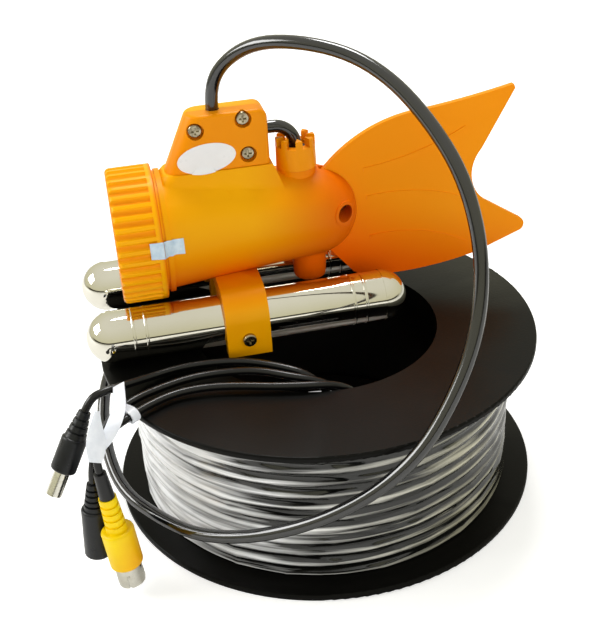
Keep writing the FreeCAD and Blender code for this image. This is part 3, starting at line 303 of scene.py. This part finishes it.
def wound_part():
    """Points that lead the cable round the core, layer after layer, clockwise from above."""
    points = []
    turned = 0
    for layer, (radius, z_from, z_to, turns) in enumerate(LAYERS):
        count = turns * POINTS_PER_TURN
        for i in range(count):
            share = i / count
            angle = WINDING_START - 2 * pi * turned / POINTS_PER_TURN
            loose = 0.12 * sin(2.3 * angle + layer) + 0.08 * sin(5.1 * angle)
            z = z_from + (z_to - z_from) * share + loose
            at_end = max(0.0, (i - count + 2) / 3)
            following = LAYERS[layer + 1][0] if layer + 1 < len(LAYERS) else INNERMOST_R
            r = (radius + (following - radius) * at_end) * LEADING_OUT
            points.append((r * cos(angle), r * sin(angle), z))
            turned += 1
    return points


jacket = worked("cable_jacket", (6, 6, 8), (12, 12, 15), patch=0.03, roughness=0.14, change=0.05,
                grain=0.0008, depth=0.000003, Specular_IOR_Level=1.0)
cable = cable_line("camera_cable", free_part + lead_in + wound_part(), CABLE_D, jacket)
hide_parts("main_cable", "cable_winding")

# Stretch film.
# Clear film is pulled round the winding in several turns; it hugs the cable's
# turns, and its flat bright wrinkles and folds run along with them.
FILM_R = 0.07015
FILM_LOW, FILM_HIGH = 0.0030, 0.0577
FILM_COLUMNS, FILM_CUTS = 360, 89
FILM_HUG = 0.0003
FILM_FOLD = 0.0004
FILM_GRAIN = 0.00009
FILM_T = 0.0001
FIRST_TURN_Z = 0.050
TURN_PITCH = 0.0049667
FIRST_CREST = FIRST_TURN_Z - (WINDING_START_DEGREES + 90) / 360 * TURN_PITCH
MOUTH_FROM, MOUTH_TO, MOUTH_LOW = radians(122), radians(164), 0.042


def film_stretched():
    """A thin skin, pressed out over the outer turns and cut away at its mouth."""
    bpy.ops.object.select_all(action="DESELECT")
    bpy.ops.mesh.primitive_cylinder_add(vertices=FILM_COLUMNS, radius=FILM_R, end_fill_type="NOTHING",
                                        depth=FILM_HIGH - FILM_LOW)
    piece = bpy.context.active_object
    piece.name = "film_wrap_piece"
    bpy.ops.object.mode_set(mode="EDIT")
    bpy.ops.mesh.select_mode(type="EDGE")
    bpy.ops.mesh.select_all(action="DESELECT")
    bpy.ops.object.mode_set(mode="OBJECT")
    for edge in piece.data.edges:
        a, b = (piece.data.vertices[i].co for i in edge.vertices)
        edge.select = abs(a.z - b.z) > 0.001
    bpy.ops.object.mode_set(mode="EDIT")
    bpy.ops.mesh.subdivide(number_cuts=FILM_CUTS)
    bpy.ops.mesh.select_mode(type="FACE")
    bpy.ops.mesh.select_all(action="DESELECT")
    bpy.ops.object.mode_set(mode="OBJECT")
    middle = (FILM_LOW + FILM_HIGH) / 2
    for face in piece.data.polygons:
        angle = atan2(face.center.y, face.center.x)
        face.select = MOUTH_FROM < angle < MOUTH_TO and face.center.z + middle > MOUTH_LOW
    bpy.ops.object.mode_set(mode="EDIT")
    bpy.ops.mesh.delete(type="FACE")
    bpy.ops.mesh.select_mode(type="VERT")
    bpy.ops.object.mode_set(mode="OBJECT")
    for vertex in piece.data.vertices:
        angle = atan2(vertex.co.y, vertex.co.x)
        z = vertex.co.z + middle
        since_start = (WINDING_START - angle) / (2 * pi)
        turn = (FIRST_TURN_Z - z) / TURN_PITCH - since_start
        slant = z / 0.0042 + 1.3 * angle
        fold = (1 - abs(noise.noise(Vector((cos(angle) * 2.2, sin(angle) * 2.2, slant))))) ** 9
        fine = noise.noise(Vector((cos(angle) * 7, sin(angle) * 7, z / 0.0016)))
        r = FILM_R + FILM_HUG * cos(2 * pi * turn) + FILM_FOLD * fold + FILM_GRAIN * fine
        vertex.co = (r * cos(angle), r * sin(angle), z)
    with_modifier(piece, "SOLIDIFY", thickness=FILM_T, offset=0)
    only(piece)
    bpy.ops.object.shade_smooth_by_angle(angle=radians(70))
    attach(piece, "camera_on_reel")
    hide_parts("film_wrap")
    return piece


def film_material():
    """Tight clear film, dark where the cable shows through, cloudy in streaks and folds, with painted
    highlights on the turns and painted glare on the left.
    """
    material = bpy.data.materials.new("stretch_film")
    material.use_nodes = True
    made = Nodes(material.node_tree)
    shader = material.node_tree.nodes["Principled BSDF"]
    place = made.add("ShaderNodeTexCoord").outputs["Object"]
    xyz = made.add("ShaderNodeSeparateXYZ", {"Vector": place}).outputs
    angle = made.math("ARCTAN2", xyz["X"], made.math("MULTIPLY", xyz["Y"], -1.0))
    level = made.math("SUBTRACT", xyz["Z"], made.math("MULTIPLY", angle, TURN_PITCH / (2 * pi)))

    def streaks(per_turn, width, detail, seed):
        at = made.add("ShaderNodeCombineXYZ", {
            "X": made.math("MULTIPLY", angle, per_turn), "Y": made.math("DIVIDE", level, width),
            "Z": seed}).outputs["Vector"]
        return made.add("ShaderNodeTexNoise", {"Vector": at, "Scale": 1.0, "Detail": detail,
                                               "Roughness": 0.55}).outputs["Fac"]

    fine = streaks(2.0, 0.0016, 2.0, 3.1)
    broad = streaks(1.1, 0.0056, 2.0, 8.4)
    # The turns show as light crests, painted highlights where the film lies on them and spans the
    # gaps.
    phase = made.math("MULTIPLY", made.math("SUBTRACT", level, FIRST_CREST), 2 * pi / TURN_PITCH)
    crest_highlight = made.math("POWER", made.spread(made.math("COSINE", phase), -1.0, 1.0), 3.0)
    # The left side is painted cloudy white, as painted glare from the lamp on the left.
    glare_side = made.math("COSINE", made.math("ADD", angle, 1.25))
    painted_glare = made.math("POWER", made.spread(glare_side, 0.35, 1.0), 1.4)
    # The streaks' cloud, the painted highlights on the turns and the painted glare add up here.
    cloud_and_highlight = made.math("ADD", made.math("ADD", fine, made.math("MULTIPLY", broad, 0.6)),
                       made.math("ADD", made.math("MULTIPLY", crest_highlight, 0.3),
                                 made.math("MULTIPLY", painted_glare, 0.46)))
    cloud_and_highlight_mask = made.spread(cloud_and_highlight, 0.9, 1.34)
    # The pale colour is whiter on the left, where the glare is painted, and creamier towards the
    # right.
    white = made.mix(made.spread(angle, -0.3, 0.7), linear(250, 251, 254), linear(206, 202, 176))
    made.feed(shader, {
        "Base Color": made.mix(cloud_and_highlight_mask, linear(9, 10, 9), white),
        "Roughness": made.spread(broad, 0.3, 0.7, 0.1, 0.26),
        "Specular IOR Level": 0.5, "Coat Weight": 0.4, "Coat Roughness": 0.08})
    return material


film = film_stretched()
film.data.materials.append(film_material())

# Plugs.
# The supply plug and the lamps' socket are black; the video plug is yellow,
# with a ribbed neck, a black sleeve above it and a plated shell and pin.
plug_black = worked("plug_black", (13, 15, 18), (26, 29, 34), patch=0.004, roughness=0.34, change=0.16,
                    grain=0.0004, depth=0.00003, Specular_IOR_Level=0.35)
plug_yellow = worked("plug_yellow", (248, 216, 2), (236, 186, 2), patch=0.012, roughness=0.36,
                     grain=0.0005, depth=0.00002, Specular_IOR_Level=0.3,
                     run=(((240, 170, 2), (0.9, 0.0, -0.3), -0.072, -0.060),))
plated = worked("contact_metal", (226, 224, 214), (196, 192, 180), patch=0.002, roughness=0.16,
                Metallic=1.0)
power_end = [finished("power_plug", plug_black), finished("power_barrel", plated, 30)]
light_end = [finished("light_socket", plug_black)]
video_end = [finished("video_sleeve", moulded_black), finished("video_plug", plug_yellow, 32),
             finished("video_shell", plated, 30), finished("video_pin", plated, 30)]

# Tie.
# A flat white plastic band goes round the video and light leads at the rim;
# its two free ends are strips that lie over the leads and point down.
tie_white = worked("tie_white", (234, 237, 244), (196, 202, 214), patch=0.004, roughness=0.32,
                   grain=0.002, depth=0.00015, Specular_IOR_Level=0.4)
TIE_T = 0.0004
TIE_BOW = 0.35
TIE_FACING = Vector((-0.1, -0.86, 0.5))


def tie_end(name, line, widths):
    """A free end of the tie, which runs along a line of points and faces the viewer."""
    bpy.ops.object.select_all(action="DESELECT")
    bpy.ops.mesh.primitive_grid_add(x_subdivisions=4, y_subdivisions=len(line) - 1, size=2)
    piece = bpy.context.active_object
    piece.name = name
    for vertex in piece.data.vertices:
        i = round((vertex.co.y + 1) / 2 * (len(line) - 1))
        before, after = Vector(line[max(i - 1, 0)]), Vector(line[min(i + 1, len(line) - 1)])
        across = (after - before).cross(TIE_FACING).normalized()
        bow = TIE_FACING.normalized() * TIE_BOW * (1 - vertex.co.x ** 2)
        vertex.co = (Vector(line[i]) + across * vertex.co.x * widths[i] / 2 + bow) / 1000
    with_modifier(piece, "SUBSURF", levels=2, render_levels=2, boundary_smooth="PRESERVE_CORNERS")
    with_modifier(piece, "SOLIDIFY", thickness=TIE_T, offset=0)
    only(piece)
    bpy.ops.object.shade_smooth_by_angle(angle=radians(50))
    piece.data.materials.append(tie_white)
    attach(piece, "camera_on_reel")
    return piece


tie = finished("lead_tie", tie_white)
tie_ends = [
    tie_end("tie_end_long",
            [(-67.2, -43.6, 67.1), (-66.4, -49.1, 67.2), (-65.4, -54.6, 67.2), (-65.4, -59.8, 66.4),
             (-66.6, -64.4, 65.0), (-68.0, -67.2, 62.9), (-70.2, -69.4, 60.9)],
            (4.2, 4.6, 4.8, 4.8, 4.6, 4.2, 3.0)),
    tie_end("tie_end_short",
            [(-70.5, -64.3, 71.4), (-71.0, -65.9, 68.8), (-71.3, -67.6, 65.4), (-71.5, -69.3, 62.4),
             (-71.8, -70.7, 59.8), (-72.1, -71.9, 57.0)],
            (1.4, 3.0, 5.4, 6.8, 6.0, 4.4))]

# Leads.
# Three thin soft leads come up out of the breakout in the hub, lie over the
# upper flange to its rim and hang down there to their plugs.
LEAD_D = 0.0028
lead_jacket = worked("lead_jacket", (7, 7, 8), (13, 13, 15), patch=0.02, roughness=0.24, change=0.05,
                     grain=0.0006, depth=0.00001, Specular_IOR_Level=0.4)
# Each lead's length in metres, what it ends in, the pieces on it, and its route.
leads = {
    "power": (0.110, "plug", power_end, [
        (3.9, -40.4, 40), (3.9, -40.4, 48.6), (2.5, -37.6, 56.9), (-4.6, -35.2, 62.4),
        (-14.4, -31.9, 63.8), (-25.7, -28.3, 64.2), (-37.8, -26.6, 63.1), (-49.4, -28.2, 62.6),
        (-58.6, -33.6, 63.0), (-65.8, -39.6, 64.4), (-72.0, -44.0, 65.2), (-76.9, -46.4, 64.2),
        (-79.0, -48.0, 60.0)]),
    "light": (0.126, "connector", light_end, [
        (9.7, -38.9, 40), (9.7, -38.9, 48.6), (7.6, -38.9, 56.4), (0.5, -39.3, 61.6),
        (-9.8, -38.4, 63.6), (-20.7, -35.1, 64.5), (-32.5, -33.2, 63.3), (-44.4, -35.1, 62.9),
        (-54.5, -40.5, 62.8), (-62.9, -47.7, 63.4), (-69.2, -54.0, 61.3), (-73.4, -58.7, 55.8),
        (-76.3, -62.7, 47.6), (-76.7, -63.0, 41.6)]),
    "video": (0.1235, "plug", video_end + [tie] + tie_ends, [
        (15.5, -37.5, 40), (15.5, -37.5, 48.6), (13.1, -39.2, 55.4), (6.4, -41.4, 61.4),
        (-3.4, -43.4, 62.9), (-14.8, -43.1, 62.9), (-26.5, -42.0, 63.2), (-38.0, -41.7, 63.2),
        (-49.0, -44.1, 62.9), (-57.3, -50.9, 63.1), (-62.6, -57.0, 63.2), (-67.7, -63.3, 63.1),
        (-70.7, -67.0, 60.6), (-72.85, -68.9, 56.5), (-72.2, -69.1, 50.5)])}
for name, (length, ending, fittings, points) in leads.items():
    lead = cable_line("lead_to_" + name, points, LEAD_D, lead_jacket, steps=8)
    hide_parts("lead_" + name)

# Ballast tubes.
# Two thin-walled steel tubes are polished bright and closed with domed caps;
# two rolled beads hold each cap, and a cast slug lies inside each tube.
chrome = worked("polished_steel", (226, 223, 212), (210, 206, 192), patch=0.03, roughness=0.05,
                change=0.03, grain=0.004, depth=0.000001, Metallic=1.0)
slug_iron = worked("ballast_iron", (88, 90, 94), (60, 60, 62), patch=0.004, roughness=0.6,
                   grain=0.0006, depth=0.0001, Metallic=0.8)
for side in ("near", "far"):
    finished("ballast_tube_" + side, chrome, 30)
    finished("ballast_caps_" + side, chrome, 30)
    painted("ballast_slug_" + side, slug_iron)

# Housing.
# The camera's body, the cover of the cable block and the tube clamp are
# moulded in orange plastic with a satin skin. The body is painted deeper towards
# the bottom as painted shade, and is deeper towards the rear; the clamp's top,
# under the body, is painted deeper as painted shade.
NOSE = Vector((-85.3, -0.75, 0))
ALONG = Vector((0.97869, 0.20535, 0.0))
SIDEWAYS = Vector((-0.20535, 0.97869, 0.0))
AXIS_Z = 99.7


def on_camera(a, b, z):
    """A place by its distance in mm behind the tubes' front end, to the far side and up."""
    return (NOSE + ALONG * a + SIDEWAYS * b + Vector((0, 0, z))) / 1000


# Painted shade: the body's colour goes deeper towards the bottom.
painted_shade_low = ((226, 98, 0), (0.0, 0.0, -1.0), -0.107, -0.079)
deeper_behind = ((228, 106, 0), tuple(ALONG), -0.024, 0.016)
orange = worked("housing_plastic", (244, 172, 0), (240, 160, 0), patch=0.03, change=0.08,
                grain=0.0008, depth=0.00002, Specular_IOR_Level=0.12,
                run=(deeper_behind, painted_shade_low))
block_orange = worked("block_plastic", (240, 147, 0), (234, 138, 0), patch=0.02, roughness=0.38,
                      grain=0.0008, depth=0.00002, Specular_IOR_Level=0.14)
# Painted shade: the clamp's top, under the body, goes deeper in colour.
clamp_orange = worked("clamp_plastic", (244, 168, 0), (240, 156, 0), patch=0.02, roughness=0.38,
                      grain=0.0008, depth=0.00002, Specular_IOR_Level=0.14,
                      run=(((242, 148, 0), (0.0, 0.0, 1.0), 0.077, 0.083),))
housing = finished("housing", orange, 48)
cover = finished("cable_block_cover", block_orange, 32)
finished("tube_clamp", clamp_orange, 32)

# Lens ring.
# A ribbed screw ring in a yellower batch of the plastic holds the window; a
# white slip washer lies between the two.
# The ring's rear band, next to the housing, is painted deeper as painted shade.
ring_orange = worked("ring_plastic", (248, 174, 0), (244, 162, 0), patch=0.02, roughness=0.36,
                     grain=0.0007, depth=0.00002, Specular_IOR_Level=0.16,
                     run=(((230, 112, 0), tuple(ALONG), -0.0542, -0.0524),))
# The grooves between the ribs are painted deeper in colour, by the distance from the axis, as painted
# shade in the recesses.
made = Nodes(ring_orange.node_tree)
ring_shader = ring_orange.node_tree.nodes["Principled BSDF"]
from_axis = made.add("ShaderNodeVectorMath", {
    0: made.add("ShaderNodeTexCoord").outputs["Object"], 1: on_camera(0, 0, AXIS_Z)},
    operation="SUBTRACT").outputs["Vector"]
radius = made.add("ShaderNodeVectorMath", {0: made.add("ShaderNodeVectorMath", {
    0: from_axis, 1: ALONG}, operation="CROSS_PRODUCT").outputs["Vector"]},
    operation="LENGTH").outputs["Value"]
made.feed(ring_shader, {"Base Color": made.mix(
    made.spread(radius, 0.0231, 0.0239), linear(238, 136, 0),
    ring_shader.inputs["Base Color"].links[0].from_socket)})
finished("lens_ring", ring_orange, 40, softened=0.00025)
washer_white = worked("washer_plastic", (222, 222, 216), (204, 204, 198), roughness=0.5)
painted("slip_washer", washer_white)

# Gland nut.
# A slotted nut on a cone squeezes the seal round the camera's cable end.
nut_orange = worked("nut_plastic", (242, 152, 0), (236, 142, 0), patch=0.01, roughness=0.36,
                    grain=0.0006, depth=0.00002, Specular_IOR_Level=0.16)
finished("gland_nut", nut_orange, 32)
finished("camera_cable_end", jacket, 40)

# Tail.
# A thin forked plate with low rays is screwed into the housing; its colour is
# painted deeper towards its root low down, as painted shade, and paler at its edge.
tail_orange = worked("tail_plastic", (248, 150, 0), (244, 140, 0), patch=0.04, roughness=0.4,
                     grain=0.001, depth=0.00003, Specular_IOR_Level=0.12,
                     run=(((240, 96, 0), (-0.35, -0.07, -1.0), -0.118, -0.078),))
finished("tail_fin", tail_orange, 30)

# Screws.
# Cross-recess pan heads in plain steel, with dark and light patches, hold the
# block's cover, the clamp, the ballast tubes and the tail.
screw_steel = worked("screw_steel", (196, 186, 160), (96, 84, 62), patch=0.0016, patches=0.8,
                     roughness=0.24, Metallic=1.0)
for node in ("cover_screws", "clamp_screws", "lock_screw_near", "lock_screw_far", "tail_screw"):
    finished(node, screw_steel, 30)

# Window, seals and the parts behind them.
# A clear disc and its round seal close the front; the lamps stand on a ring
# board round the lens barrel, and the picture sensor sits behind it.
glass = worked("window_glass", (232, 240, 244), (226, 236, 240), roughness=0.05, change=0.02,
               depth=0.0, Transmission_Weight=1.0, IOR=1.49)
seal_black = worked("seal_rubber", (18, 18, 18), (28, 28, 28), roughness=0.6)
board_green = worked("board_mask", (14, 70, 38), (20, 90, 50), patch=0.004, roughness=0.35)
lamp_clear = worked("lamp_resin", (226, 230, 236), (240, 242, 246), patch=0.002, roughness=0.12)
lens_black = worked("lens_black", (16, 16, 18), (28, 28, 30), roughness=0.4)
for node in ("front_window", "lens_glass"):
    finished(node, glass, 30)
for node in ("window_oring", "gland_seal"):
    painted(node, seal_black)
for node in ("led_board", "sensor_board"):
    painted(node, board_green)
finished("led_lamps", lamp_clear, 40)
for node in ("lens_barrel", "lens_carrier"):
    finished(node, lens_black)

# Labels.
# A bare white oval label is stuck on the block's cover, and a bare pale blue
# paper seal bridges the joint of ring and housing, where it is cut through.
LABEL_AT = (50.1, 127.2)
LABEL_SIZE = (20.6, 10.6)
LABEL_TILT = radians(6)
COVER_REACH = 0.0135
PAPER_T = 0.00012
SEAL_FROM, SEAL_LENGTH = 26.2, 11.8


def oval_label():
    """The oval, laid from the side on to the cover and what of the housing stands out there."""
    bpy.ops.object.select_all(action="DESELECT")
    bpy.ops.mesh.primitive_circle_add(vertices=48, radius=1, fill_type="TRIFAN")
    piece = bpy.context.active_object
    piece.name = "oval_label"
    bpy.ops.object.mode_set(mode="EDIT")
    bpy.ops.mesh.select_all(action="SELECT")
    bpy.ops.mesh.subdivide(number_cuts=3)
    bpy.ops.object.mode_set(mode="OBJECT")
    half_w, half_h = (s / 2 for s in LABEL_SIZE)
    faces = [BVHTree.FromPolygons([v.co for v in target.data.vertices],
                                  [f.vertices for f in target.data.polygons])
             for target in (housing, cover)]
    for vertex in piece.data.vertices:
        w, h = vertex.co.x * half_w, vertex.co.y * half_h
        a = LABEL_AT[0] + w * cos(LABEL_TILT) - h * sin(LABEL_TILT)
        z = LABEL_AT[1] + w * sin(LABEL_TILT) + h * cos(LABEL_TILT)
        start = on_camera(a, -20, z)
        hits = [tree.ray_cast(start, SIDEWAYS)[3] for tree in faces]
        reach = min([COVER_REACH] + [hit for hit in hits if hit])
        vertex.co = start + SIDEWAYS * (reach - PAPER_T)
    with_modifier(piece, "SOLIDIFY", thickness=PAPER_T, offset=0)
    only(piece)
    bpy.ops.object.shade_smooth_by_angle(angle=radians(50))
    piece.data.materials.append(worked("label_paper", (240, 241, 244), (230, 232, 236), patch=0.006,
                                       roughness=0.3, grain=0.0004, depth=0.000008))
    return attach(piece, "camera_on_reel")


def seal_part(name, profile, body):
    """One part of the paper seal, on a line of places behind the front and radii."""
    bpy.ops.object.select_all(action="DESELECT")
    bpy.ops.mesh.primitive_grid_add(x_subdivisions=10, y_subdivisions=len(profile) - 1, size=2)
    piece = bpy.context.active_object
    piece.name = name
    for vertex in piece.data.vertices:
        a, radius = profile[round((vertex.co.y + 1) / 2 * (len(profile) - 1))]
        along = (a - SEAL_FROM) / SEAL_LENGTH
        low, high = 2.4 - 2.6 * along, 15.7 - 0.6 * along
        angle = radians(low + (high - low) * (vertex.co.x + 1) / 2)
        vertex.co = on_camera(a, -radius * cos(angle), AXIS_Z + radius * sin(angle))
    with_modifier(piece, "SOLIDIFY", thickness=PAPER_T, offset=0)
    only(piece)
    bpy.ops.object.shade_smooth_by_angle(angle=radians(50))
    piece.data.materials.append(seal_paper)
    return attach(piece, body)


oval_label()
seal_paper = worked("seal_paper", (214, 230, 242), (150, 184, 214), patch=0.003, patches=0.7,
                    roughness=0.5, grain=0.0005, depth=0.00002)
seal_part("paper_seal_front", [(26.2, 24.45), (27.8, 24.5), (29.4, 24.5), (30.9, 24.45)], "lens_ring")
seal_part("paper_seal_rear", [(31.1, 24.2), (31.7, 23.2), (32.4, 22.5), (33.6, 22.4), (34.2, 21.6),
                              (35.0, 21.15), (36.6, 21.1), (38.0, 21.1)], "camera_on_reel")

# Floor and light.
# A plain white table, which glows a little for the camera alone, a lamp on the
# left, one overhead, and a broad one in front that no surface mirrors.
TABLE_GLOW = 0.5
bpy.ops.object.select_all(action="DESELECT")
bpy.ops.mesh.primitive_plane_add(size=4, location=(0, 0, 0))
floor = bpy.context.active_object
floor.name = "table"
table_white = bpy.data.materials.new("table_white")
table_white.use_nodes = True
made = Nodes(table_white.node_tree)
rays = made.add("ShaderNodeLightPath")
made.feed(table_white.node_tree.nodes["Principled BSDF"], {
    "Base Color": (0.9, 0.9, 0.9, 1), "Roughness": 0.6, "Specular IOR Level": 0.1,
    "Emission Color": (1, 1, 1, 1),
    "Emission Strength": made.math("MULTIPLY", rays.outputs["Is Camera Ray"], TABLE_GLOW)})
floor.data.materials.append(table_white)


def lamp(name, place, aim, size, power, mirrored=True):
    """A soft lamp that points at a place, and may be left out of reflections."""
    data = bpy.data.lights.new(name, "AREA")
    data.shape = "RECTANGLE"
    data.size, data.size_y = size
    data.energy = power
    piece = bpy.data.objects.new(name, data)
    piece.location = place
    piece.visible_glossy = mirrored
    piece.rotation_euler = (Vector(aim) - Vector(place)).to_track_quat("-Z", "Y").to_euler()
    bpy.context.scene.collection.objects.link(piece)


lamp("window_light", (-0.80, 0.0, 0.50), (0, 0, 0.08), (0.5, 0.35), 4.6)
lamp("ceiling", (0.0, 0.40, 0.95), (0, 0, 0.08), (0.3, 0.3), 5.6)
lamp("fill", (0.35, -0.8, 0.35), (0, 0, 0.08), (0.8, 0.6), 4.0, mirrored=False)
world = bpy.data.worlds.new("studio")
bpy.context.scene.world = world
world.use_nodes = True
made = Nodes(world.node_tree)
looking = made.add("ShaderNodeSeparateXYZ", {
    "Vector": made.add("ShaderNodeTexCoord").outputs["Generated"]}).outputs
height = looking["Z"]
rays = made.add("ShaderNodeLightPath").outputs
front = made.spread(looking["Y"], 0.1, -0.3)
dark_line = made.math("MULTIPLY", front, made.spread(height, 0.075, 0.035))
walls = made.mix(made.spread(height, 0.1, 0.9), linear(222, 219, 190), linear(238, 236, 222))
walls = made.mix(dark_line, walls, linear(40, 34, 26))
shown = made.mix(rays["Is Camera Ray"], walls, (1, 1, 1, 1))
softer = made.math("MAXIMUM", made.math("MAXIMUM", rays["Is Camera Ray"], rays["Is Glossy Ray"]),
                   rays["Is Transmission Ray"])
made.feed(world.node_tree.nodes["Background"], {
    "Color": shown, "Strength": made.spread(softer, 0.0, 1.0, 0.48, 1.0)})
bpy.context.scene.view_settings.view_transform = "Standard"
